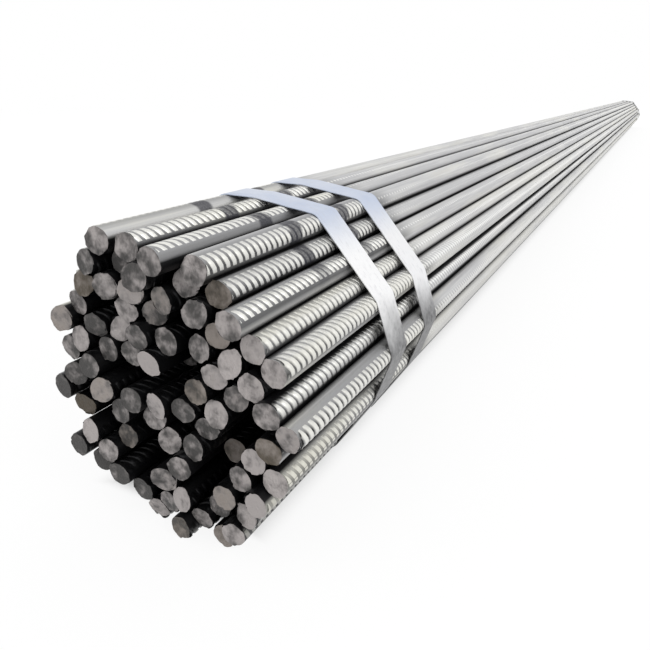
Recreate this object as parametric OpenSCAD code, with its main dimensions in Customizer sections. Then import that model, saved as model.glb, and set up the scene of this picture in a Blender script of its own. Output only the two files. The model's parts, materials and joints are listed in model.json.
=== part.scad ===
// Bundle of ribbed reinforcing bars held together by flat steel straps, lying on its straps.
// X runs across the bundle, Y along the bars with the near end at -Y, and Z up.
// The origin is on the floor below the middle of the bundle.
// Each bar is a plain round of its nominal diameter, the size that sets its weight.

/* [Bars] */
// Nominal diameter of one bar
bar_d = 18; // [12:1:25]
// Sold length of one bar
bar_len = 6000; // [3000:100:12000]
// Space that the rolled ribs keep between the rounds of two touching bars
rib_gap = 0.8; // [0.4:0.1:0.9]

/* [Bundle] */
// Width of the bundle over its outer bar centres, counted in touching bars
width_in_bars = 10.6; // [9.5:0.1:11.5]
// Height of the bundle over its outer bar centres, counted in touching bars
height_in_bars = 11.6; // [10.5:0.1:12]
// Distance from the middle to the pressed flat on the upper right, counted in touching bars
flat_in_bars = 5.2; // [5:0.1:6.5]
// Tilt of the bundle's long axis to the left, in degrees
tilt = 12; // [0:1:20]
// Largest lean of a line of bars away from close packing, in degrees
lean_max = 27; // [10:1:29]
// Share of the inner places that are left empty where bars bridge over each other
empty_share = 0.08; // [0:0.01:0.15]
// Largest shift of a bar's end to either side of the mean end
end_shift = 6; // [0:1:15]
// Furthest that an outer bar stands out past the mean end
proud_max = 14; // [0:1:40]
// Furthest that an inner bar has slid back into the bundle
slide_max = 90; // [30:5:150]

/* [Straps] */
// Width of the flat strap
strap_w = 32; // [19:1:40]
// Thickness of the flat strap
strap_t = 0.9; // [0.6:0.1:1.3]
// Distance from the mean bar end to the middle of the outer strap
strap_outer_y = 149; // [120:1:400]
// Distance between the middles of the two straps at one end
strap_step = 78; // [60:1:300]

// Length over which the strap's free end laps over its other end
lap_len = 76; // [55:1:90]

/* [Seals] */
// Length of the crimped seal along its strap
seal_len = 40; // [25:1:50]
// Thickness of the seal's sheet
seal_t = 1.2; // [0.8:0.1:1.6]

/* [Hidden] */

// Round surfaces are drawn with this many sides
sides = 48;
strap_sides = 32;

// Number of courses that the bars are taken in, from the floor up
course_count = 12;

// Lines of bars counted to either side of the middle
reach = ceil(max(width_in_bars, height_in_bars)) + 2;
places_per_line = 2 * reach + 1;
place_count = places_per_line * places_per_line;

// Seeds that fix the lean of each line and the lie of each bar
lean_seed = 396;
lie_seed = 229;
slide_seed = 213;
empty_seed = 388;

// Bars touch rib to rib, so their centres lie this far apart
pitch = bar_d + rib_gap;
bar_r = bar_d / 2;

// Straps run over the ribs, clear of the rounds by half the rib gap
strap_in_r = bar_r + rib_gap / 2;
strap_out_r = strap_in_r + strap_t;
floor_row_z = strap_out_r;

// Bars rest in each other's hollows. A line of bars that climbs to the right leans by the same
// angle as the line that climbs to the left from the same hollow of the floor course, which keeps
// the floor course level and every bar touching the four around it.
leans = [for (share = rands(0, 1, 2 * reach, lean_seed)) lean_max * share];
function climb_right(i) = let (angle = 60 - leans[i + reach]) pitch * [cos(angle), sin(angle)];
function climb_left(j) = let (angle = 60 - leans[reach - 1 - j]) pitch * [-cos(angle), sin(angle)];

// Running sums of the steps along each line, from the first line
function total(steps, count) = count == 0 ? [0, 0] : total(steps, count - 1) + steps[count - 1];
function running(steps) = [for (count = [0 : len(steps)]) total(steps, count)];
right_sums = running([for (i = [-reach : reach - 1]) climb_right(i)]);
left_sums = running([for (j = [-reach : reach - 1]) climb_left(j)]);

// Place of the bar on line i to the right and line j to the left, from the middle of the floor course
function from_middle(sums, line) = sums[line + reach] - sums[reach];
function place(i, j) = from_middle(right_sums, i) + from_middle(left_sums, j);

// Bars lie inside an oval that the floor course cuts off level and the upper right flank cuts off flat
oval_w = width_in_bars * pitch;
oval_h = height_in_bars * pitch;
flat_out = flat_in_bars * pitch;
floor_cut = 0.05 * oval_h;
middle = [-pitch / 2, oval_h / 2 - floor_cut];
across = [cos(tilt), sin(tilt)];
upright = [-sin(tilt), cos(tilt)];
flank = [cos(45), sin(45)];
inner_share = 0.72;
function outward(from) = norm([2 * from * across / oval_w, 2 * from * upright / oval_h]);
function within(from, share) = outward(from) <= share && from * flank <= share * flat_out;
function in_oval(at) = within(at - middle, 1);
function is_inner(at) = within(at - middle, inner_share);

// Random share of each place in the lattice, for its end, its slide and whether it is empty
lie = rands(0, 1, place_count, lie_seed);
slide = rands(0, 1, place_count, slide_seed);
empty = rands(0, 1, place_count, empty_seed);
function place_number(i, j) = (i + reach) * places_per_line + j + reach;

// Some inner bars have slid back, a few outer bars stand out, and the rest end within the end shift
slid_share = 0.3;
slide_min = 24;
proud_share = 0.2;
function slid_back(share) =
    share < slid_share ? slide_min + (slide_max - slide_min) * (1 - share / slid_share) : 0;
function stood_out(share) = share < proud_share ? proud_max * (1 - share / proud_share) : 0;
function end_offset(n, inner) =
    end_shift * (2 * lie[n] - 1) + (inner ? slid_back(slide[n]) : -stood_out(slide[n]));

// Every bar of the bundle, as [x, z, shift along the bundle] from the middle of the floor course
laid_bars = [
    for (i = [-reach : reach], j = [-reach : reach])
        let (at = place(i, j), n = place_number(i, j), inner = is_inner(at))
        if (i + j >= 0 && in_oval(at) && !(inner && empty[n] < empty_share))
            [at.x, at.y, end_offset(n, inner)]
];

// The bundle is centred over the origin
function middle_of(values) = (min(values) + max(values)) / 2;
middle_x = middle_of([for (bar = laid_bars) bar.x]);
middle_y = middle_of([for (bar = laid_bars) bar.z]);
all_bars = [for (bar = laid_bars) [bar.x - middle_x, bar.y + floor_row_z, bar.z - middle_y]];
centres = [for (bar = all_bars) [bar.x, bar.y]];

// Course of a bar, by its height in the bundle
top_z = max([for (at = centres) at.y]);
course_h = (top_z - floor_row_z) / course_count;
function course_of(bar) = 1 + min(course_count - 1, floor((bar.y - floor_row_z) / course_h));

// Corners of the round the straps take, going counter-clockwise from the rightmost bar
function turn(a, b, c) = (b.x - a.x) * (c.y - a.y) - (b.y - a.y) * (c.x - a.x);
function next_corner(from, n = 0, best = undef) =
    n == len(centres) ? best
    : centres[n] == from ? next_corner(from, n + 1, best)
    : is_undef(best) || turn(from, best, centres[n]) < 0 ? next_corner(from, n + 1, centres[n])
    : next_corner(from, n + 1, best);
first_corner = [for (at = centres) if (at.x == max([for (other = centres) other.x])) at][0];
function corners_from(at, found = []) =
    len(found) > 0 && at == first_corner ? found : corners_from(next_corner(at), concat(found, [at]));
corners = corners_from(first_corner);

// The seal sits on the longest flat of the strap among those that face left and stand steeply
steepness = 0.85;
function flat_run(n) = corners[(n + 1) % len(corners)] - corners[n];
function faces_left(run) = run.y < -steepness * norm(run);
left_flats = [for (n = [0 : len(corners) - 1]) if (faces_left(flat_run(n))) n];
longest_flat = max([for (n = left_flats) norm(flat_run(n))]);
seal_flat = [for (n = left_flats) if (norm(flat_run(n)) == longest_flat) n][0];
seal_run = flat_run(seal_flat);
seal_at = corners[seal_flat] + seal_run / 2;
seal_lean = atan2(seal_run.y, seal_run.x);

// Straps stand at the same distances from the mean bar end at both ends
half_len = bar_len / 2;
near_end_y = -middle_y - half_len;
far_end_y = -middle_y + half_len;
strap_ys = [
    near_end_y + strap_outer_y,
    near_end_y + strap_outer_y + strap_step,
    far_end_y - strap_outer_y - strap_step,
    far_end_y - strap_outer_y
];

// Room between a seal and its strap, and the sizes of its crimped notches
seal_room = 0.1;
notch_r = 3;
notch_step = 18;

module bars(course) {
    color("gray")
        for (bar = all_bars)
            if (course_of(bar) == course)
                translate([bar.x, bar.z - half_len, bar.y])
                    rotate([-90, 0, 0])
                        cylinder(d = bar_d, h = bar_len, $fn = sides);
}

module strap_outline(r) {
    hull()
        for (at = corners)
            translate(at)
                circle(r = r, $fn = strap_sides);
}

// Second layer of the strap, where its free end laps over the other end under the seal
module strap_lap() {
    intersection() {
        strap_outline(strap_out_r + strap_t);
        translate(seal_at)
            rotate(seal_lean)
                translate([-lap_len / 2, -pitch])
                    square([lap_len, pitch]);
    }
}

module strap(y) {
    color("lightsteelblue")
        translate([0, y + strap_w / 2, 0])
            rotate([90, 0, 0])
                linear_extrude(height = strap_w)
                    difference() {
                        union() {
                            strap_outline(strap_out_r);
                            strap_lap();
                        }
                        strap_outline(strap_in_r);
                    }
}

// Channel that clasps both layers of the strap, with its lips level with the strap's inner face
module seal_channel() {
    lip_x = strap_w / 2 + seal_room;
    top_z = 2 * strap_t + seal_room;
    difference() {
        translate([-lip_x - seal_t, -seal_len / 2, 0])
            cube([2 * (lip_x + seal_t), seal_len, top_z + seal_t]);
        translate([-lip_x, -seal_len, -seal_t])
            cube([2 * lip_x, 2 * seal_len, seal_t + top_z]);
        for (side = [-1, 1])
            for (along = [-0.5, 0.5])
                translate([side * (lip_x + seal_t + notch_r / 2), along * notch_step, -seal_t])
                    cylinder(r = notch_r, h = top_z + 3 * seal_t, $fn = sides);
    }
}

module seal(y) {
    color("slategray")
        translate([seal_at.x, y, seal_at.y])
            rotate([0, -seal_lean, 0])
                translate([0, 0, -strap_in_r])
                    rotate([180, 0, 90])
                        seal_channel();
}

bars(1);  // bars_course_01
bars(2);  // bars_course_02
bars(3);  // bars_course_03
bars(4);  // bars_course_04
bars(5);  // bars_course_05
bars(6);  // bars_course_06
bars(7);  // bars_course_07
bars(8);  // bars_course_08
bars(9);  // bars_course_09
bars(10);  // bars_course_10
bars(11);  // bars_course_11
bars(12);  // bars_course_12
strap(strap_ys[0]);  // strap_near_outer
strap(strap_ys[1]);  // strap_near_inner
strap(strap_ys[2]);  // strap_far_inner
strap(strap_ys[3]);  // strap_far_outer
seal(strap_ys[0]);  // seal_near_outer
seal(strap_ys[1]);  // seal_near_inner
seal(strap_ys[2]);  // seal_far_inner
seal(strap_ys[3]);  // seal_far_outer
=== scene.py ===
"""Rebar bundle: the looks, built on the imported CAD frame.

Ribbed bars stand for the plain rods of the CAD, course by course. The straps
and seals are dressed copies of their CAD nodes. Every length is in metres.
"""

import json
import logging
import math
import random
from dataclasses import dataclass, field
from enum import Enum
from typing import Callable, Optional, Union

import bpy
import numpy as np
from mathutils import Matrix, Vector

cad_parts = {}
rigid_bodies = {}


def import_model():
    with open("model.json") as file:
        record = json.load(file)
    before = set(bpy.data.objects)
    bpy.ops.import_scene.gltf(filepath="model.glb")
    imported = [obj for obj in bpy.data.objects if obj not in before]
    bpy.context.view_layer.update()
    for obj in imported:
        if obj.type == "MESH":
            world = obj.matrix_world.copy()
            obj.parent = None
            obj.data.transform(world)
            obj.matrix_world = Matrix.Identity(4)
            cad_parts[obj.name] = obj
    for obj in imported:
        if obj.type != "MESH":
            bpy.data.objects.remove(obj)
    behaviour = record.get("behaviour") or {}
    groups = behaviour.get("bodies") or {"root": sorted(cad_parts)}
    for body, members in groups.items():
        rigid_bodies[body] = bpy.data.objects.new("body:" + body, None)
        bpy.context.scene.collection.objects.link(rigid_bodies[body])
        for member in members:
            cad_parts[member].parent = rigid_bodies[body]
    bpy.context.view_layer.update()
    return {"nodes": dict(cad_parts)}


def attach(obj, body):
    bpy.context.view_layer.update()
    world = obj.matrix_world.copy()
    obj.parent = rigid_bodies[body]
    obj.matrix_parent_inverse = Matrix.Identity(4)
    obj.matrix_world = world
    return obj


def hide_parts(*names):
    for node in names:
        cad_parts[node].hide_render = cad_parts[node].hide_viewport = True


for leftover in list(bpy.data.objects):
    bpy.data.objects.remove(leftover)
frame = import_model()

LOG = logging.getLogger("rebar_bundle")
SEED = 3
BAR_RADIUS = 0.009
Colour = tuple[float, float, float]


# Shader maths

class Shade:
    """One output of a material's nodes; arithmetic on it adds Math nodes."""

    def __init__(self, recipe: "Recipe", socket: bpy.types.NodeSocket) -> None:
        """Keep the socket and the recipe that it belongs to.

        Args:
            recipe: the material under construction.
            socket: the output socket.
        """
        self.recipe = recipe
        self.socket = socket

    def __add__(self, other: "Value") -> "Shade":
        """Add. Returns: the sum."""
        return self.recipe.maths("ADD", self, other)

    __radd__ = __add__

    def __sub__(self, other: "Value") -> "Shade":
        """Subtract. Returns: the difference."""
        return self.recipe.maths("SUBTRACT", self, other)

    def __rsub__(self, other: "Value") -> "Shade":
        """Subtract from a number. Returns: the difference."""
        return self.recipe.maths("SUBTRACT", other, self)

    def __mul__(self, other: "Value") -> "Shade":
        """Multiply. Returns: the product."""
        return self.recipe.maths("MULTIPLY", self, other)

    __rmul__ = __mul__

    def step(self, low: float, high: float) -> "Shade":
        """Ease from 0 at low to 1 at high.

        Args:
            low: where the result is 0.
            high: where the result is 1.

        Returns:
            The eased value.
        """
        return self.recipe.node(
            "ShaderNodeMapRange",
            {"Value": self, "From Min": low, "From Max": high},
            interpolation_type="SMOOTHSTEP",
        )


Value = Union[Shade, float, Colour]


class Recipe:
    """A material under construction, with one way of making nodes."""

    def __init__(self, name: str) -> None:
        """Start an empty node material.

        Args:
            name: the material's name.
        """
        self.material = bpy.data.materials.new(name)
        self.material.use_nodes = True
        self.tree = self.material.node_tree
        self.tree.nodes.clear()

    def node(self, kind: str, inputs: dict[Union[str, int], Value], out: Union[str, int] = 0,
             **settings: Union[str, float, bool]) -> Shade:
        """Add a node, feed it and hand back one of its outputs.

        Args:
            kind: the node's type name.
            inputs: values or shades by socket name or number.
            out: the output's name or number.
            settings: properties of the node.

        Returns:
            The chosen output.
        """
        made = self.tree.nodes.new(kind)
        for name, value in settings.items():
            setattr(made, name, value)
        for name, value in inputs.items():
            socket = made.inputs[name]
            if isinstance(value, Shade):
                self.tree.links.new(value.socket, socket)
            elif socket.type == "RGBA":
                socket.default_value = (*value, 1.0)
            else:
                socket.default_value = value
        return Shade(self, made.outputs[out])

    def maths(self, operation: str, first: Value, second: Value) -> Shade:
        """Add a Math node.

        Args:
            operation: the node's operation.
            first: the first value.
            second: the second value.

        Returns:
            The result.
        """
        return self.node("ShaderNodeMath", {0: first, 1: second}, operation=operation)

    def mix(self, share: Value, start: Value, end: Value) -> Shade:
        """Mix two colours.

        Args:
            share: 0 for start and 1 for end.
            start: the first colour.
            end: the second colour.

        Returns:
            The mixed colour.
        """
        inputs: dict[Union[str, int], Value] = {0: share, 6: start, 7: end}
        return self.node("ShaderNodeMix", inputs, out=2, data_type="RGBA")

    def axes(self) -> tuple[Shade, Shade, Shade]:
        """Give the place in the object's own frame. Returns: x, y and z."""
        place = self.node("ShaderNodeTexCoord", {}, out="Object")
        return tuple(self.node("ShaderNodeSeparateXYZ", {0: place}, out=name) for name in "XYZ")

    def noise(self, stretch: Colour, detail: float = 3.0, rough: float = 0.5) -> Shade:
        """Add noise over the object's own frame.

        Args:
            stretch: noise cells per metre along x, y and z.
            detail: octaves.
            rough: share of the finer octaves.

        Returns:
            Noise from about 0.2 to 0.8.
        """
        place = self.node("ShaderNodeTexCoord", {}, out="Object")
        spread = self.node("ShaderNodeMapping", {"Vector": place, "Scale": stretch})
        return self.node("ShaderNodeTexNoise",
                         {"Vector": spread, "Scale": 1.0, "Detail": detail, "Roughness": rough})

    def mark(self, name: str) -> Shade:
        """Read one number stored on the mesh.

        Args:
            name: the attribute's name.

        Returns:
            Its value.
        """
        return self.node("ShaderNodeAttribute", {}, out="Fac", attribute_name=name)

    def finish(self, bump: Optional[Shade] = None, height: float = 0.0,
               **sockets: Value) -> bpy.types.Material:
        """Close the recipe with a Principled shader.

        Args:
            bump: relief from 0 to 1, if any.
            height: the relief's height in metres.
            sockets: Principled inputs, with _ for a space in their names.

        Returns:
            The material.
        """
        inputs = {name.replace("_", " "): value for name, value in sockets.items()}
        if bump is not None:
            relief: dict[Union[str, int], Value] = {"Height": bump, "Distance": height, "Strength": 1.0}
            inputs["Normal"] = self.node("ShaderNodeBump", relief)
        surface = self.node("ShaderNodeBsdfPrincipled", inputs)
        self.node_output(surface)
        return self.material

    def node_output(self, surface: Shade) -> None:
        """Link a shader to the material's output.

        Args:
            surface: the shader.
        """
        end = self.tree.nodes.new("ShaderNodeOutputMaterial")
        self.tree.links.new(surface.socket, end.inputs["Surface"])


# Finishes

@dataclass(frozen=True)
class BarSteel:
    """Rolled bar with thin mill scale, worn bright on what stands out, with painted shade in its grooves,
    low down and where it faces the inside, and a painted sheen on its middle run.
    """

    bright: Colour = (0.78, 0.775, 0.735)
    scale: Colour = (0.50, 0.50, 0.51)
    # the dark of painted shade: in the grooves between the cross ribs and low down on the bundle
    groove_shade: Colour = (0.022, 0.022, 0.023)
    warm: Colour = (0.62, 0.60, 0.50)
    # the paler colour of a painted sheen on the run between the inner straps
    middle_sheen: Colour = (0.78, 0.78, 0.775)
    # the dark of painted shade on flanks that face the inside of the bundle
    inner: Colour = (0.010, 0.010, 0.011)
    band: Colour = (0.030, 0.030, 0.042)
    band_lead: float = 0.053
    band_wide: float = 0.016
    band_low: float = 0.165
    band_soft: float = 0.02
    # painted shade low down on the bundle, where the undersides lie in shade
    low_shade_from: float = 0.005
    low_shade_to: float = 0.085
    low_shade_share: float = 0.70
    ends_soft: float = 0.06
    # where and by how much the painted sheen fades towards the far end
    far_grey_from: float = -1.5
    far_grey_to: float = 2.6
    far_grey_most: float = 0.9

    def make(self, strap_places: list[float]) -> bpy.types.Material:
        """Mix the finish.

        Args:
            strap_places: y of the near straps, which have a dark band before them.

        Returns:
            The material.
        """
        mix = Recipe("bar_steel_scaled")
        _, along, up = mix.axes()
        relief = mix.mark("relief")
        tone = mix.mark("tone")
        streaks = mix.noise((420.0, 9.0, 420.0), detail=4.0, rough=0.6)
        patches = mix.noise((45.0, 5.0, 45.0), detail=3.0)
        grain = mix.noise((900.0, 700.0, 900.0), detail=2.0)
        worn = (streaks * 0.6 + patches * 0.45 + tone * 0.30 + relief * 0.40).step(0.50, 1.08)
        colour = mix.mix(worn, self.scale, self.bright)
        colour = mix.mix((patches + tone * 0.4).step(0.62, 0.95) * 0.55, colour, self.warm)
        off_middle = mix.maths("ABSOLUTE", along, 0.0)
        last_strap = abs(strap_places[-1])
        # 1 by the ends, 0 on the run between the inner straps
        toward_ends = off_middle.step(last_strap - self.ends_soft, last_strap)
        # how strongly the painted groove shade shows: less on bars of higher tone, far less on the middle
        # run
        filled = (streaks * 0.5 + 0.68) * (1.0 - tone.step(0.45, 1.0) * 0.55) * (0.14 + toward_ends * 0.86)
        greyed = 1.0 - along.step(self.far_grey_from, self.far_grey_to) * self.far_grey_most
        # painted sheen: the run between the inner straps is painted paler, more where worn, fading towards
        # the far end
        colour = mix.mix((1.0 - toward_ends) * (worn * 0.75 + 0.10) * greyed, colour, self.middle_sheen)
        # painted shade in the grooves between the cross ribs
        colour = mix.mix(mix.mark("groove_shade") * filled, colour, self.groove_shade)
        wobble = (patches - 0.5) * 0.02
        bands = None
        for place in strap_places:
            off = mix.maths("ABSOLUTE", along - (place - self.band_lead) + wobble, 0.0)
            part = 1.0 - off.step(self.band_wide * 0.38, self.band_wide * 0.62)
            bands = part if bands is None else bands + part
        shown = bands * up.step(self.band_low, self.band_low + self.band_soft) * (grain * 0.4 + 0.62)
        colour = mix.mix(shown, colour, self.band)
        # painted shade: darker towards the bottom of the bundle
        low_shade = (1.0 - up.step(self.low_shade_from, self.low_shade_to)) * self.low_shade_share
        colour = mix.mix(low_shade, colour, self.groove_shade)
        # painted shade where a flank faces the inside of the bundle
        colour = mix.mix(mix.mark("inside"), colour, self.inner)
        rough = 0.36 + (1.0 - worn) * 0.12 + grain * 0.10
        return mix.finish(bump=grain * 0.6 + streaks * 0.4, height=0.00025, Base_Color=colour,
                          Roughness=rough, Metallic=0.72)


@dataclass(frozen=True)
class ShearedSteel:
    """The sheared ends: torn grey steel, dull, some touched with rust, painted lighter towards +x as if lit
    from the right.
    """

    grey: Colour = (0.44, 0.405, 0.395)
    dark: Colour = (0.055, 0.052, 0.050)
    pale: Colour = (0.53, 0.52, 0.50)
    rust: Colour = (0.13, 0.096, 0.055)
    # painted light: how much lighter the ends lie towards +x
    light_from_right: float = 2.4

    def make(self) -> bpy.types.Material:
        """Mix the finish. Returns: the material."""
        mix = Recipe("bar_steel_sheared")
        tone = mix.mark("tone")
        rust = mix.mark("rust")
        rim = mix.mark("rim")
        cloud = mix.noise((125.0, 60.0, 125.0), detail=2.0, rough=0.5)
        tears = mix.noise((520.0, 300.0, 330.0), detail=3.0, rough=0.65)
        across, _, _ = mix.axes()
        # painted light: the ends lie lighter towards +x, as if lit from the right
        shade = cloud * 2.0 + tears * 0.6 + 0.10 + tone * 0.9 + across * self.light_from_right
        colour = mix.mix(shade.step(1.30, 2.30), self.dark, self.grey)
        colour = mix.mix(rim * (cloud + tone * 0.3).step(0.40, 0.75) * 0.8, colour, self.pale)
        colour = mix.mix((rust + cloud * 0.9 + tears * 0.4).step(0.9, 1.4) * 0.48, colour, self.rust)
        return mix.finish(bump=tears * 0.5 + cloud * 0.5, height=0.0022, Base_Color=colour,
                          Roughness=0.55, Metallic=0.15)


@dataclass(frozen=True)
class Galvanised:
    """Bright zinc on strap or seal, with fine scuffs along it, a painted sky reflection in blue on top and
    painted shade low down.
    """

    name: str
    zinc: Colour = (0.88, 0.88, 0.885)
    # the blue of a painted sky reflection on top
    sky_reflection: Colour = (0.50, 0.56, 0.69)
    scuff: Colour = (0.55, 0.55, 0.58)
    # the dark of painted shade low on the strap, where it turns under the bundle
    low: Colour = (0.085, 0.085, 0.088)
    shade_from: float = 0.105
    shade_to: float = 0.150
    shade_wander: float = 0.05
    sky_reflection_from: float = 0.175
    sky_reflection_to: float = 0.210
    roughness: float = 0.36

    def make(self) -> bpy.types.Material:
        """Mix the finish. Returns: the material."""
        mix = Recipe(self.name)
        cloud = mix.noise((26.0, 26.0, 26.0), detail=3.0)
        lines = mix.noise((40.0, 900.0, 40.0), detail=3.0, rough=0.6)
        spots = mix.noise((240.0, 240.0, 240.0), detail=2.0)
        _, _, up = mix.axes()
        # painted reflection: the top of the strap is tinted blue like a mirrored sky
        sky_share = up.step(self.sky_reflection_from, self.sky_reflection_to)
        colour = mix.mix((cloud * 0.9 + 0.40) * sky_share, self.zinc, self.sky_reflection)
        colour = mix.mix((lines * 0.7 + spots * 0.5).step(0.62, 0.82) * 0.5, colour, self.scuff)
        # painted shade: the strap darkens low down, where it turns under the bundle
        height = up + (cloud - 0.5) * self.shade_wander
        shaded = (1.0 - height.step(self.shade_from, self.shade_to)) * (spots * 0.4 + 0.68)
        colour = mix.mix(shaded, colour, self.low)
        rough = self.roughness + lines * 0.14
        return mix.finish(bump=lines * 0.06 + cloud * 0.94, height=0.0018, Base_Color=colour,
                          Roughness=rough, Metallic=0.70)


@dataclass(frozen=True)
class PaleFloor:
    """The plain floor: near white to the camera, greyer as a light, white far off, dark under the bundle."""

    seen: Colour = (0.97, 0.97, 0.97)
    thrown: Colour = (0.46, 0.46, 0.46)
    lift: float = 0.90
    fade_from: float = 2.8
    fade_to: float = 9.0
    under_middle: float = -0.022
    under_from: float = 0.044
    under_to: float = 0.087
    under_end: float = 3.0
    under_soft: float = 0.02

    def make(self) -> bpy.types.Material:
        """Mix the finish. Returns: the material."""
        mix = Recipe("pale_floor")
        rays = [mix.node("ShaderNodeLightPath", {}, out="Is %s Ray" % kind)
                for kind in ("Camera", "Glossy", "Transmission")]
        shown = mix.maths("MINIMUM", rays[0] + rays[1] + rays[2], 1.0)
        colour = mix.mix(shown, self.thrown, self.seen)
        matt = mix.node("ShaderNodeBsdfDiffuse", {"Color": colour})
        white = mix.node("ShaderNodeEmission", {"Color": (1.0, 1.0, 1.0), "Strength": 1.0})
        across, along, _ = mix.axes()
        afar = mix.maths("POWER", across * across + along * along, 0.5).step(self.fade_from, self.fade_to)
        aside = mix.maths("ABSOLUTE", across - self.under_middle, 0.0).step(self.under_from, self.under_to)
        ahead = mix.maths("ABSOLUTE", along, 0.0).step(self.under_end, self.under_end + self.under_soft)
        open_air = mix.maths("MAXIMUM", aside, ahead)
        lifted = (self.lift + afar * (1.0 - self.lift)) * shown * open_air
        mix.node_output(mix.node("ShaderNodeMixShader", {0: lifted, 1: matt, 2: white}))
        return mix.material


# Modelling by hand

class Bench:
    """Small steps of work with Blender's own operators."""

    @staticmethod
    def clear() -> None:
        """Leave edit mode and deselect everything."""
        if bpy.context.object is not None and bpy.context.object.mode != "OBJECT":
            bpy.ops.object.mode_set(mode="OBJECT")
        bpy.ops.object.select_all(action="DESELECT")

    @staticmethod
    def take(*things: bpy.types.Object) -> None:
        """Select objects, the first of them active.

        Args:
            things: what to select.
        """
        Bench.clear()
        for thing in things:
            thing.select_set(True)
        bpy.context.view_layer.objects.active = things[0]

    @staticmethod
    def points(thing: bpy.types.Object) -> np.ndarray:
        """Read a mesh's points.

        Args:
            thing: the mesh object.

        Returns:
            One row of x, y and z a point.
        """
        flat = np.empty(len(thing.data.vertices) * 3)
        thing.data.vertices.foreach_get("co", flat)
        return flat.reshape(-1, 3)

    @staticmethod
    def pick(thing: bpy.types.Object, test: Callable[[np.ndarray], np.ndarray]) -> None:
        """Enter edit mode with only the points that pass a test selected.

        Args:
            thing: the mesh object.
            test: takes all points and gives a mask.
        """
        Bench.take(thing)
        mask = test(Bench.points(thing))
        bpy.ops.object.mode_set(mode="EDIT")
        bpy.ops.mesh.select_mode(type="VERT")
        bpy.ops.mesh.select_all(action="DESELECT")
        bpy.ops.object.mode_set(mode="OBJECT")
        thing.data.vertices.foreach_set("select", mask)
        bpy.ops.object.mode_set(mode="EDIT")

    @staticmethod
    def modify(thing: bpy.types.Object, kind: str, **settings: Union[str, float, bool, int, Colour]) -> None:
        """Add a modifier and apply it.

        Args:
            thing: the mesh object.
            kind: the modifier's type.
            settings: its properties.
        """
        Bench.take(thing)
        added = thing.modifiers.new(kind.lower(), kind)
        for name, value in settings.items():
            setattr(added, name, value)
        bpy.ops.object.modifier_apply(modifier=added.name)

    @staticmethod
    def copy(thing: bpy.types.Object, place: Matrix) -> bpy.types.Object:
        """Copy a template with a mesh of its own.

        Args:
            thing: the template.
            place: where the copy's points go.

        Returns:
            The copy.
        """
        made = thing.copy()
        made.data = thing.data.copy()
        made.data.transform(place)
        bpy.context.scene.collection.objects.link(made)
        return made

    @staticmethod
    def note(thing: bpy.types.Object, name: str, values: Union[float, np.ndarray]) -> None:
        """Store one number a point on a mesh.

        Args:
            thing: the mesh object.
            name: the attribute's name.
            values: one number, or one a point.
        """
        found = thing.data.attributes.get(name) or thing.data.attributes.new(name, "FLOAT", "POINT")
        count = len(thing.data.vertices)
        found.data.foreach_set("value", np.broadcast_to(np.asarray(values, np.float32), (count,)).copy())


# Ribbed bars

class RibGrade(Enum):
    """How finely a cross rib is modelled: sides of its ring and crest loops."""

    FINE = (18, 2)
    COARSE = (8, 1)

    @property
    def sides(self) -> int:
        """Sides of the full ring. Returns: their number."""
        return self.value[0]

    @property
    def loops(self) -> int:
        """Edge loops on the crest. Returns: one or two."""
        return self.value[1]


@dataclass(frozen=True)
class BarPlace:
    """Where one rod of the CAD lies, and which way it sees out of the bundle."""

    x: float
    z: float
    near: float
    far: float
    outlook: tuple[float, ...]


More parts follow.
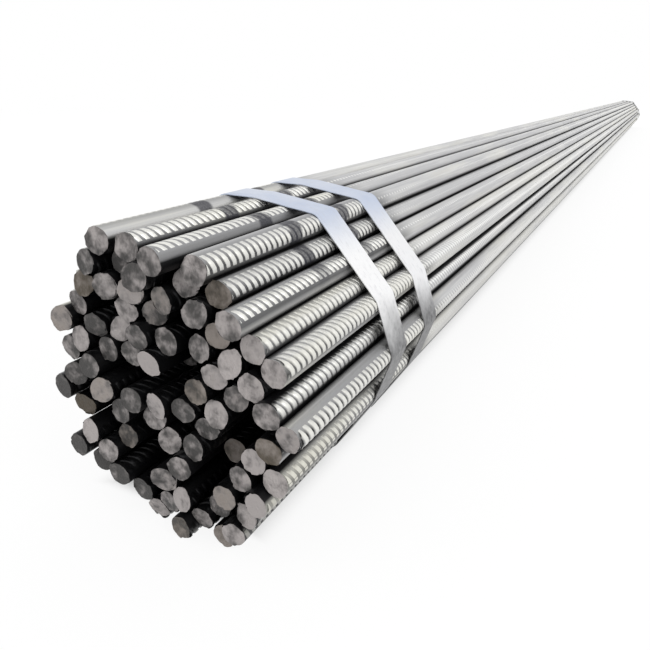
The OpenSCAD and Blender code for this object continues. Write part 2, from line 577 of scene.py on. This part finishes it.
@dataclass
class RibbedBar:
    """Bar stock: a lens shaped rod with two long ribs and two rows of crescents."""

    flank: bpy.types.Material
    end: bpy.types.Material
    split: float
    far_split: float
    far_face: float
    half_wide: float = 0.0084
    half_tall: float = 0.0088
    reach: float = 0.0094
    facets: int = 28
    pitch: float = 0.0066
    lean: float = math.radians(26.0)
    rib_base: float = 0.0052
    rib_crest: float = 0.0034
    rib_sink: float = 0.0003
    rib_cut: float = 0.16
    foot_tall: float = 0.93
    crest_tall: float = 0.955
    rows_face: float = math.radians(38.0)
    rows_spread: float = math.radians(60.0)
    out_share: float = 0.35
    roll_left: float = math.radians(8.0)
    row_shows: float = 0.35
    # how much of the painted groove shade the light from above takes off the upper side
    top_light: float = 0.55
    top_light_from: float = 0.1
    top_light_soft: float = 0.6
    open_from: float = 0.945
    open_soft: float = 0.05
    face_soft: float = 0.02
    lip: float = 0.0011
    lip_depth: float = 0.55
    end_zone: float = 0.004
    end_tilt: float = math.radians(4.5)
    end_rough: float = 0.0003
    torn_ring: float = 0.0024
    torn_rough: float = 0.0005
    torn_step: float = 0.0016
    torn_off: float = 0.002
    dent_past: float = 0.0058
    dent_least: float = 0.0002
    dent_most: float = 0.0012
    fine_run: float = 0.34
    inner_run: float = 0.09
    templates: dict[str, bpy.types.Object] = field(default_factory=dict)

    def model(self, length: float) -> None:
        """Model the rod and the rows of ribs that every bar is put together from.

        Args:
            length: the rod's length.
        """
        self.templates["rod"] = self.rod(length)
        fine = self.rib(RibGrade.FINE)
        coarse = self.rib(RibGrade.COARSE)
        self.templates["fine"] = self.row(fine, self.fine_run)
        self.templates["inner"] = self.row(fine, self.inner_run + 3 * self.pitch)
        self.templates["coarse"] = self.row(coarse, length)
        for used in (fine, coarse):
            bpy.data.objects.remove(used)

    def rod(self, length: float) -> bpy.types.Object:
        """Model the rod from a filled ring with two ears, drawn out to its length.

        Args:
            length: the rod's length.

        Returns:
            The rod, centred, along y, with its end faces in the second slot.
        """
        Bench.clear()
        turn = math.pi / self.facets
        bpy.ops.mesh.primitive_circle_add(vertices=self.facets, radius=1.0, fill_type="NGON",
                                          rotation=(math.radians(90.0), turn, 0.0))
        rod = bpy.context.object
        rod.name = "rod_stock"
        bpy.ops.object.transform_apply(location=False, rotation=True, scale=False)
        rod.scale = (self.half_wide, 1.0, self.half_tall)
        bpy.ops.object.transform_apply(location=False, rotation=False, scale=True)
        ear = self.half_tall * math.cos(1.5 * turn)
        Bench.pick(rod, lambda p: np.abs(p[:, 2]) > ear)
        grow = self.reach / (self.half_tall * math.cos(turn))
        bpy.ops.transform.resize(value=(1.0, 1.0, grow), center_override=(0.0, 0.0, 0.0))
        bpy.ops.mesh.select_all(action="SELECT")
        bpy.ops.transform.translate(value=(0.0, -length / 2, 0.0))
        bpy.ops.mesh.extrude_region_move(TRANSFORM_OT_translate={"value": (0.0, length, 0.0)})
        bpy.ops.mesh.select_all(action="SELECT")
        bpy.ops.mesh.normals_make_consistent(inside=False)
        bpy.ops.object.mode_set(mode="OBJECT")
        for finish in (self.flank, self.end):
            rod.data.materials.append(finish)
        for face in rod.data.polygons:
            face.select = abs(face.normal.y) > 0.9
            face.material_index = int(face.select)
        bpy.ops.object.mode_set(mode="EDIT")
        bpy.ops.mesh.select_mode(type="FACE")
        bpy.ops.mesh.inset(thickness=self.lip, depth=self.lip * self.lip_depth)
        for _ in range(2):
            bpy.ops.mesh.inset(thickness=self.torn_ring, depth=0.0)
        bpy.ops.object.mode_set(mode="OBJECT")
        points = Bench.points(rod)
        radius = np.hypot(points[:, 0], points[:, 2])
        inner = np.abs(points[:, 1]) > length / 2 + self.lip * 0.3
        Bench.note(rod, "relief", np.where(radius > self.half_tall + 1e-4, 1.0, 0.35) * ~inner)
        Bench.note(rod, "rim", (~inner).astype(float))
        # painted groove shade on the rod's sides
        Bench.note(rod, "groove_shade", self.groove_shade_share(points))
        return rod

    @staticmethod
    def groove_shade_share(points: np.ndarray) -> np.ndarray:
        """Tell how much painted shade lies on the rod: most between the cross ribs, none by the long ribs.

        Args:
            points: places about the y axis.

        Returns:
            A share a point.
        """
        side = np.abs(points[:, 0]) / np.maximum(np.hypot(points[:, 0], points[:, 2]), 1e-6)
        return np.clip((side - 0.25) / 0.5, 0.0, 1.0)

    def rib(self, grade: RibGrade) -> bpy.types.Object:
        """Model one crescent: a ring set off towards +x, flared to the rod and cut in half.

        Args:
            grade: how finely.

        Returns:
            The rib at the rod's middle.
        """
        Bench.clear()
        crest = self.rib_crest if grade.loops == 2 else 0.0
        bpy.ops.mesh.primitive_circle_add(vertices=grade.sides, radius=self.half_tall, fill_type="NOTHING",
                                          rotation=(math.radians(90.0), 0.0, 0.0))
        rib = bpy.context.object
        rib.name = "rib_" + grade.name.lower()
        bpy.ops.object.transform_apply(location=False, rotation=True, scale=False)
        bpy.ops.object.mode_set(mode="EDIT")
        bpy.ops.mesh.select_mode(type="VERT")
        bpy.ops.mesh.select_all(action="SELECT")
        sunk = (self.half_wide - self.rib_sink) / self.half_tall
        squash = (sunk, 1.0, self.foot_tall)
        swell = (1.0 / sunk, 1.0, self.crest_tall / self.foot_tall)
        raised = self.reach - self.half_tall
        bpy.ops.transform.resize(value=squash, center_override=(0.0, 0.0, 0.0))
        bpy.ops.transform.translate(value=(0.0, -self.rib_base / 2, 0.0))
        steps = [(raised, (self.rib_base - crest) / 2, True)]
        if crest:
            steps.append((0.0, crest, None))
        steps.append((-raised, (self.rib_base - crest) / 2, False))
        for aside, ahead, rising in steps:
            bpy.ops.mesh.extrude_edges_move()
            if rising is True:
                bpy.ops.transform.resize(value=swell, center_override=(0.0, 0.0, 0.0))
            bpy.ops.transform.translate(value=(aside, ahead, 0.0))
            if rising is False:
                bpy.ops.transform.resize(value=squash, center_override=(0.0, 0.0, 0.0))
        bpy.ops.mesh.select_all(action="SELECT")
        bpy.ops.mesh.bisect(plane_co=(self.half_wide * self.rib_cut, 0.0, 0.0), plane_no=(1.0, 0.0, 0.0),
                            clear_inner=True)
        bpy.ops.mesh.select_all(action="SELECT")
        bpy.ops.mesh.normals_make_consistent(inside=False)
        bpy.ops.object.mode_set(mode="OBJECT")
        points = Bench.points(rib)
        points[:, 1] -= points[:, 2] * math.tan(self.lean)
        rib.data.vertices.foreach_set("co", points.ravel())
        self.face_out(rib)
        height = np.hypot(points[:, 0], points[:, 2]) - self.half_wide
        rise = np.clip(height / (self.reach - self.half_wide), 0.0, 1.0)
        Bench.note(rib, "relief", rise)
        # painted groove shade, none on the rib's crest
        Bench.note(rib, "groove_shade", self.groove_shade_share(points) * np.clip(1.0 - rise * 3.0, 0.0, 1.0))
        Bench.note(rib, "rim", 0.0)
        rib.data.materials.append(self.flank)
        return rib

    @staticmethod
    def face_out(rib: bpy.types.Object) -> None:
        """Turn an open rib's faces away from the rod, where they face it.

        Args:
            rib: the rib, about the y axis.
        """
        rib.data.update()
        outward = sum(face.normal.x * face.center.x + face.normal.z * face.center.z
                      for face in rib.data.polygons)
        if outward < 0.0:
            rib.data.flip_normals()

    def row(self, rib: bpy.types.Object, run: float) -> bpy.types.Object:
        """Repeat a rib along y.

        Args:
            rib: the rib.
            run: the row's length.

        Returns:
            The row, starting at y 0.
        """
        made = Bench.copy(rib, Matrix.Identity(4))
        made.name = rib.name + "_row"
        Bench.modify(made, "ARRAY", count=int(run / self.pitch), use_relative_offset=False,
                     use_constant_offset=True, constant_offset_displace=(0.0, self.pitch, 0.0))
        return made

    def lay(self, place: BarPlace, chance: random.Random) -> list[bpy.types.Object]:
        """Put one bar together at its place.

        Args:
            place: where its rod lies.
            chance: the source of its roll, tone and cut.

        Returns:
            The bar's meshes.
        """
        roll = self.roll(place, chance.random())
        tone = chance.random()
        rust = chance.random() ** 5
        middle = (place.near + place.far) / 2
        stand = Matrix.Translation((place.x, 0.0, place.z)) @ Matrix.Rotation(roll, 4, "Y")
        rod = Bench.copy(self.templates["rod"], Matrix.Identity(4))
        for end in (-1.0, 1.0):
            self.shear(rod, end * (place.far - place.near) / 2, chance)
        rod.data.transform(Matrix.Translation((0.0, middle, 0.0)) @ stand)
        made = [rod]
        phase = chance.uniform(0.3, 0.9) * self.pitch
        for side in (0, 1):
            facing = self.facing(roll, side)
            half_turn = Matrix.Rotation(math.pi * side, 4, "Y")
            start = place.near + phase + side * self.pitch / 2
            for name, low, high in self.rows(place, facing):
                first = start + self.pitch * math.floor((low - start) / self.pitch)
                row = Bench.copy(self.templates[name],
                                 Matrix.Translation((0.0, first, 0.0)) @ stand @ half_turn)
                self.trim(row, low, high)
                made.append(row)
        for part in made:
            Bench.note(part, "tone", tone)
            Bench.note(part, "rust", rust)
            # painted shade share: flanks that face the inside
            Bench.note(part, "inside", self.inside_shade_share(part, place))
            # painted groove shade, lighter on the upper side
            Bench.note(part, "groove_shade", self.groove_shade_below(part, place))
        return made

    def roll(self, place: BarPlace, turn: float) -> float:
        """Choose a bar's turn about its axis.

        On the right of the bundle a row of ribs faces up and out, on the left it faces out,
        and inside the bar lies anyhow.

        Args:
            place: where the bar lies.
            turn: a random share of the range.

        Returns:
            The turn about y.
        """
        if not place.outlook:
            return turn * math.tau
        out = math.atan2(sum(map(math.sin, place.outlook)), sum(map(math.cos, place.outlook)))
        if math.cos(out) < 0.0:
            return -turn * self.roll_left - out
        aim = out * self.out_share + self.rows_face * (1.0 - self.out_share)
        return (0.5 - turn) * self.rows_spread - aim

    def groove_shade_below(self, part: bpy.types.Object, place: BarPlace) -> np.ndarray:
        """Tell how much painted groove shade stays on a mesh of the bar: what faces up, lit from above,
        keeps less of it.

        Args:
            part: a mesh of the bar at its place.
            place: where the bar lies.

        Returns:
            A share a point.
        """
        points = Bench.points(part)
        rise = (points[:, 2] - place.z) / self.half_tall
        found = np.empty(len(points), np.float32)
        part.data.attributes["groove_shade"].data.foreach_get("value", found)
        # the upper side, lit from above, keeps less painted groove shade
        return found * (1.0 - self.top_light * np.clip((rise - self.top_light_from) / self.top_light_soft, 0.0, 1.0))

    @staticmethod
    def trim(row: bpy.types.Object, low: float, high: float) -> None:
        """Cut a row of ribs off square at both ends.

        Args:
            row: the row at its place.
            low: y of the near cut.
            high: y of the far cut.
        """
        Bench.take(row)
        bpy.ops.object.mode_set(mode="EDIT")
        for level, way in ((low, -1.0), (high, 1.0)):
            bpy.ops.mesh.select_all(action="SELECT")
            bpy.ops.mesh.bisect(plane_co=(0.0, level, 0.0), plane_no=(0.0, way, 0.0), clear_outer=True)
        bpy.ops.object.mode_set(mode="OBJECT")

    def inside_shade_share(self, part: bpy.types.Object, place: BarPlace) -> np.ndarray:
        """Tell which points face the inside of the bundle, where painted shade darkens them; past its far
        face none do.

        Args:
            part: a mesh of the bar at its place.
            place: where the bar lies.

        Returns:
            1 a point that sees no way out, 0 for one that faces out.
        """
        points = Bench.points(part)
        ways = np.arctan2(points[:, 2] - place.z, points[:, 0] - place.x)
        hidden = 1.0 - np.clip((points[:, 1] - self.far_face) / self.face_soft, 0.0, 1.0)
        if not place.outlook:
            return hidden
        best = np.cos(ways[:, None] - np.array(place.outlook)[None, :]).max(axis=1)
        return hidden * (1.0 - np.clip((best - self.open_from) / self.open_soft, 0.0, 1.0))

    @staticmethod
    def facing(roll: float, side: int) -> float:
        """Find which way a row of ribs faces.

        Args:
            roll: the bar's turn about y.
            side: 0 or 1.

        Returns:
            The angle from +x towards +z.
        """
        return -(roll + math.pi * side)

    def rows(self, place: BarPlace, facing: float) -> list[tuple[str, float, float]]:
        """Choose the rows of ribs one side of a bar needs.

        Args:
            place: where the bar lies.
            facing: the way the row faces.

        Returns:
            Template names, each with the y where its row begins and ends.
        """
        near, far = place.near + self.lip, place.far - self.lip
        shown = any(math.cos(facing - way) > self.row_shows for way in place.outlook)
        if shown:
            return [("fine", near, self.split), ("coarse", self.split, self.far_split),
                    ("fine", self.far_split, far)]
        return [("inner", near, near + self.inner_run), ("inner", far - self.inner_run, far)]

    def shear(self, rod: bpy.types.Object, end: float, chance: random.Random) -> None:
        """Tilt, roughen and flatten one end of a rod, as a bar shear leaves it.

        Args:
            rod: the rod, still on the y axis.
            end: y of the end.
            chance: the source of its tilt.
        """
        def at_end(points: np.ndarray) -> np.ndarray:
            """Find the end's points. Returns: a mask."""
            return np.abs(points[:, 1] - end) < self.end_zone

        Bench.pick(rod, at_end)
        for axis in "XZ":
            bpy.ops.transform.rotate(value=chance.gauss(0.0, self.end_tilt), orient_axis=axis,
                                     center_override=(0.0, end, 0.0))
        bpy.ops.transform.vertex_random(offset=self.end_rough, seed=chance.randrange(10000))
        inner = self.half_wide - self.lip * 1.5
        Bench.pick(rod, lambda p: at_end(p) & (np.hypot(p[:, 0], p[:, 2]) < inner))
        bpy.ops.transform.vertex_random(offset=self.torn_rough, seed=chance.randrange(10000))
        ray = self.ray(chance)
        part = chance.uniform(-self.torn_off, self.torn_off)
        Bench.pick(rod, lambda p: at_end(p) & (p @ ray > part))
        back = -math.copysign(chance.uniform(0.0, self.torn_step), end)
        bpy.ops.transform.translate(value=(0.0, back, 0.0))
        for _ in range(2):
            ray = self.ray(chance)
            Bench.pick(rod, lambda p: at_end(p) & (p @ ray > self.dent_past))
            dent = chance.uniform(self.dent_least, self.dent_most)
            bpy.ops.transform.translate(value=tuple(-ray * dent))
        bpy.ops.object.mode_set(mode="OBJECT")

    @staticmethod
    def ray(chance: random.Random) -> np.ndarray:
        """Draw a direction across the bar.

        Args:
            chance: the source of the draw.

        Returns:
            The direction's x, y and z.
        """
        way = chance.uniform(0.0, math.tau)
        return np.array([math.cos(way), 0.0, math.sin(way)])


@dataclass
class BarCourse:
    """One course of the bundle: all the ribbed bars of one CAD node, joined."""

    node: str
    places: list[BarPlace]

    def build(self, stock: RibbedBar, chance: random.Random) -> bpy.types.Object:
        """Lay the bars, join them and tie them to the CAD.

        Args:
            stock: the bar stock.
            chance: the source of each bar's differences.

        Returns:
            The course.
        """
        parts = [part for place in self.places for part in stock.lay(place, chance)]
        Bench.take(*parts)
        bpy.ops.object.join()
        course = bpy.context.object
        course.name = "ribbed_" + self.node
        bpy.ops.object.shade_smooth_by_angle(angle=math.radians(50.0))
        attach(course, "root")
        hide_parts(self.node)
        return course


class BundleSurvey:
    """Reads where the rods lie from the CAD nodes."""

    WAYS = 72
    CLEARANCE = 1.45

    def __init__(self, nodes: dict[str, bpy.types.Object]) -> None:
        """Find every rod.

        Args:
            nodes: the CAD's mesh objects by name.
        """
        self.rods: dict[str, list[tuple[float, float, float, float]]] = {}
        for name in sorted(n for n in nodes if n.startswith("bars_course")):
            self.rods[name] = self.read(nodes[name])

    @staticmethod
    def read(node: bpy.types.Object) -> list[tuple[float, float, float, float]]:
        """Find the rods of one node by the rings at their two ends.

        Args:
            node: the course's CAD object.

        Returns:
            x, z, near y and far y of each rod.
        """
        points = Bench.points(node)
        rings: list[tuple[float, float, float]] = []
        for along in np.unique(np.round(points[:, 1], 5)):
            ring = points[np.abs(points[:, 1] - along) < 1e-5]
            low, high = ring.min(axis=0), ring.max(axis=0)
            rings.append(((low[0] + high[0]) / 2, (low[2] + high[2]) / 2, float(ring[0, 1])))
        near = [ring for ring in rings if ring[2] < 0.0]
        far = [ring for ring in rings if ring[2] > 0.0]
        rods = []
        for x, z, start in near:
            mate = min(far, key=lambda ring: math.hypot(ring[0] - x, ring[1] - z))
            rods.append((x, z, start, mate[2]))
        return rods

    def places(self, name: str, radius: float) -> list[BarPlace]:
        """Give the rods of one course with the ways they see out of the bundle.

        Args:
            name: the course's node.
            radius: the rods' radius.

        Returns:
            The places.
        """
        every = [rod for rods in self.rods.values() for rod in rods]
        found = []
        for x, z, near, far in self.rods[name]:
            outlook = []
            for step in range(self.WAYS):
                way = math.tau * step / self.WAYS
                if all(self.clear_of(x, z, way, other, radius) for other in every):
                    outlook.append(way)
            found.append(BarPlace(x, z, near, far, tuple(outlook)))
        return found

    def clear_of(self, x: float, z: float, way: float, other: tuple[float, float, float, float],
                 radius: float) -> bool:
        """Tell whether one rod leaves another's view out open.

        Args:
            x: the looking rod's x.
            z: the looking rod's z.
            way: the direction looked in, from +x towards +z.
            other: the rod that may stand in the way.
            radius: the rods' radius.

        Returns:
            True where it doesn't stand in the way.
        """
        dx, dz = other[0] - x, other[1] - z
        ahead = dx * math.cos(way) + dz * math.sin(way)
        aside = abs(dz * math.cos(way) - dx * math.sin(way))
        return ahead < 1e-4 or aside > radius * self.CLEARANCE


# Straps and seals

@dataclass
class Dressed:
    """A strap or seal: its CAD node with eased edges and a finish."""

    node: str
    slot: str
    ease: float = 0.0002
    merge: float = 0.00001

    def build(self, source: bpy.types.Object, finish: bpy.types.Material) -> bpy.types.Object:
        """Copy the node, ease its edges and dress it.

        Args:
            source: the CAD object.
            finish: the material.

        Returns:
            The piece.
        """
        piece = Bench.copy(source, Matrix.Identity(4))
        piece.name = "dressed_" + self.node
        Bench.take(piece)
        bpy.ops.object.mode_set(mode="EDIT")
        bpy.ops.mesh.select_all(action="SELECT")
        bpy.ops.mesh.remove_doubles(threshold=self.merge)
        bpy.ops.mesh.normals_make_consistent(inside=False)
        bpy.ops.object.mode_set(mode="OBJECT")
        Bench.modify(piece, "BEVEL", width=self.ease, segments=2, limit_method="ANGLE",
                     angle_limit=math.radians(50.0), use_clamp_overlap=True)
        Bench.take(piece)
        bpy.ops.object.shade_smooth_by_angle(angle=math.radians(22.0))
        piece.data.materials.clear()
        piece.data.materials.append(finish)
        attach(piece, "root")
        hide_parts(self.node)
        return piece


# Studio

@dataclass
class Studio:
    """Camera, floor and soft light of the product shot."""

    strap_y: float
    eye: Colour = (0.2559, -0.4237, 0.2955)
    right: Colour = (0.8903, 0.4554, 0.0)
    up: Colour = (-0.1608, 0.3144, 0.9356)
    lens: float = 34.34
    sensor: float = 36.0
    clip_near: float = 0.01
    clip_far: float = 200.0
    floor_size: float = 120.0
    dome_level: float = 1.0
    sun_level: float = 1.12
    sun_angle: float = math.radians(45.0)
    sun_from: Colour = (0.84, -0.22, 0.46)

    def camera(self) -> None:
        """Stand the camera where the photo was taken from."""
        right, up = Vector(self.right).normalized(), Vector(self.up).normalized()
        back = right.cross(up).normalized()
        up = back.cross(right)
        data = bpy.data.cameras.new("camera")
        data.lens, data.sensor_width, data.sensor_fit = self.lens, self.sensor, "HORIZONTAL"
        data.clip_start, data.clip_end = self.clip_near, self.clip_far
        made = bpy.data.objects.new("camera", data)
        turn = Matrix((right, up, back)).transposed().to_4x4()
        made.matrix_world = Matrix.Translation(Vector(self.eye) + Vector((0.0, self.strap_y, 0.0))) @ turn
        bpy.context.scene.collection.objects.link(made)
        bpy.context.scene.camera = made

    def floor(self) -> None:
        """Lay the pale floor under the bundle."""
        Bench.clear()
        bpy.ops.mesh.primitive_plane_add(size=self.floor_size, location=(0.0, 0.0, 0.0))
        made = bpy.context.object
        made.name = "studio_floor"
        made.data.materials.append(PaleFloor().make())

    def light(self) -> None:
        """Light the bundle with an even white dome and a broad key."""
        world = bpy.data.worlds.new("studio")
        bpy.context.scene.world = world
        world.use_nodes = True
        glow = world.node_tree.nodes["Background"]
        glow.inputs["Color"].default_value = (1.0, 1.0, 1.0, 1.0)
        glow.inputs["Strength"].default_value = self.dome_level
        sun = bpy.data.lights.new("key", "SUN")
        sun.energy, sun.angle = self.sun_level, self.sun_angle
        made = bpy.data.objects.new("key", sun)
        made.rotation_euler = Vector(self.sun_from).to_track_quat("Z", "Y").to_euler()
        bpy.context.scene.collection.objects.link(made)

    def build(self) -> None:
        """Set up camera, floor and light."""
        self.camera()
        self.floor()
        self.light()
        bpy.context.scene.view_settings.view_transform = "Standard"


def strap_finishes() -> dict[str, bpy.types.Material]:
    """Mix the finishes of straps and seals. Returns: the materials by the piece they are for."""
    bright = Galvanised("strap_steel_bright")
    dull = Galvanised("strap_steel_dull", zinc=(0.82, 0.82, 0.83), low=(0.09, 0.09, 0.093), roughness=0.40)
    # painted shade: the far straps get a dark zinc that stands in for the shade they lie in
    dark = Galvanised("strap_steel_shaded", zinc=(0.26, 0.26, 0.27), sky_reflection=(0.20, 0.21, 0.24),
                      scuff=(0.16, 0.16, 0.17), low=(0.09, 0.09, 0.093), roughness=0.44)
    seal = Galvanised("seal_steel_bright", roughness=0.42)
    kinds = {"strap_near_outer": bright, "strap_near_inner": dull, "strap_far": dark, "seal": seal}
    return {kind: finish.make() for kind, finish in kinds.items()}


def main() -> None:
    """Build every piece in order and log its bars and faces."""
    logging.basicConfig(level=logging.INFO, format="%(message)s")
    nodes = frame["nodes"]
    chance = random.Random(SEED)
    survey = BundleSurvey(nodes)
    first = next(iter(survey.rods.values()))[0]
    outer, inner, far_inner = (float(Bench.points(nodes["strap_" + name])[:, 1].mean())
                               for name in ("near_outer", "near_inner", "far_inner"))
    far_face = float(np.median([rod[3] for rods in survey.rods.values() for rod in rods]))
    stock = RibbedBar(BarSteel().make([outer, inner]), ShearedSteel().make(), inner, far_inner, far_face)
    stock.model(first[3] - first[2])
    for name in survey.rods:
        course = BarCourse(name, survey.places(name, BAR_RADIUS)).build(stock, chance)
        LOG.info("%s: %d bars, %d faces", course.name, len(survey.rods[name]), len(course.data.polygons))
    for used in stock.templates.values():
        bpy.data.objects.remove(used)
    finishes = strap_finishes()
    for name in sorted(n for n in nodes if n.startswith(("strap_", "seal_"))):
        finish = next(made for kind, made in finishes.items() if name.startswith(kind))
        piece = Dressed(name, name.split("_")[0] + "_steel").build(nodes[name], finish)
        LOG.info("%s: %d faces", piece.name, len(piece.data.polygons))
    Studio(outer).build()
    LOG.info("sizes noted")


if __name__ == "__main__":
    main()
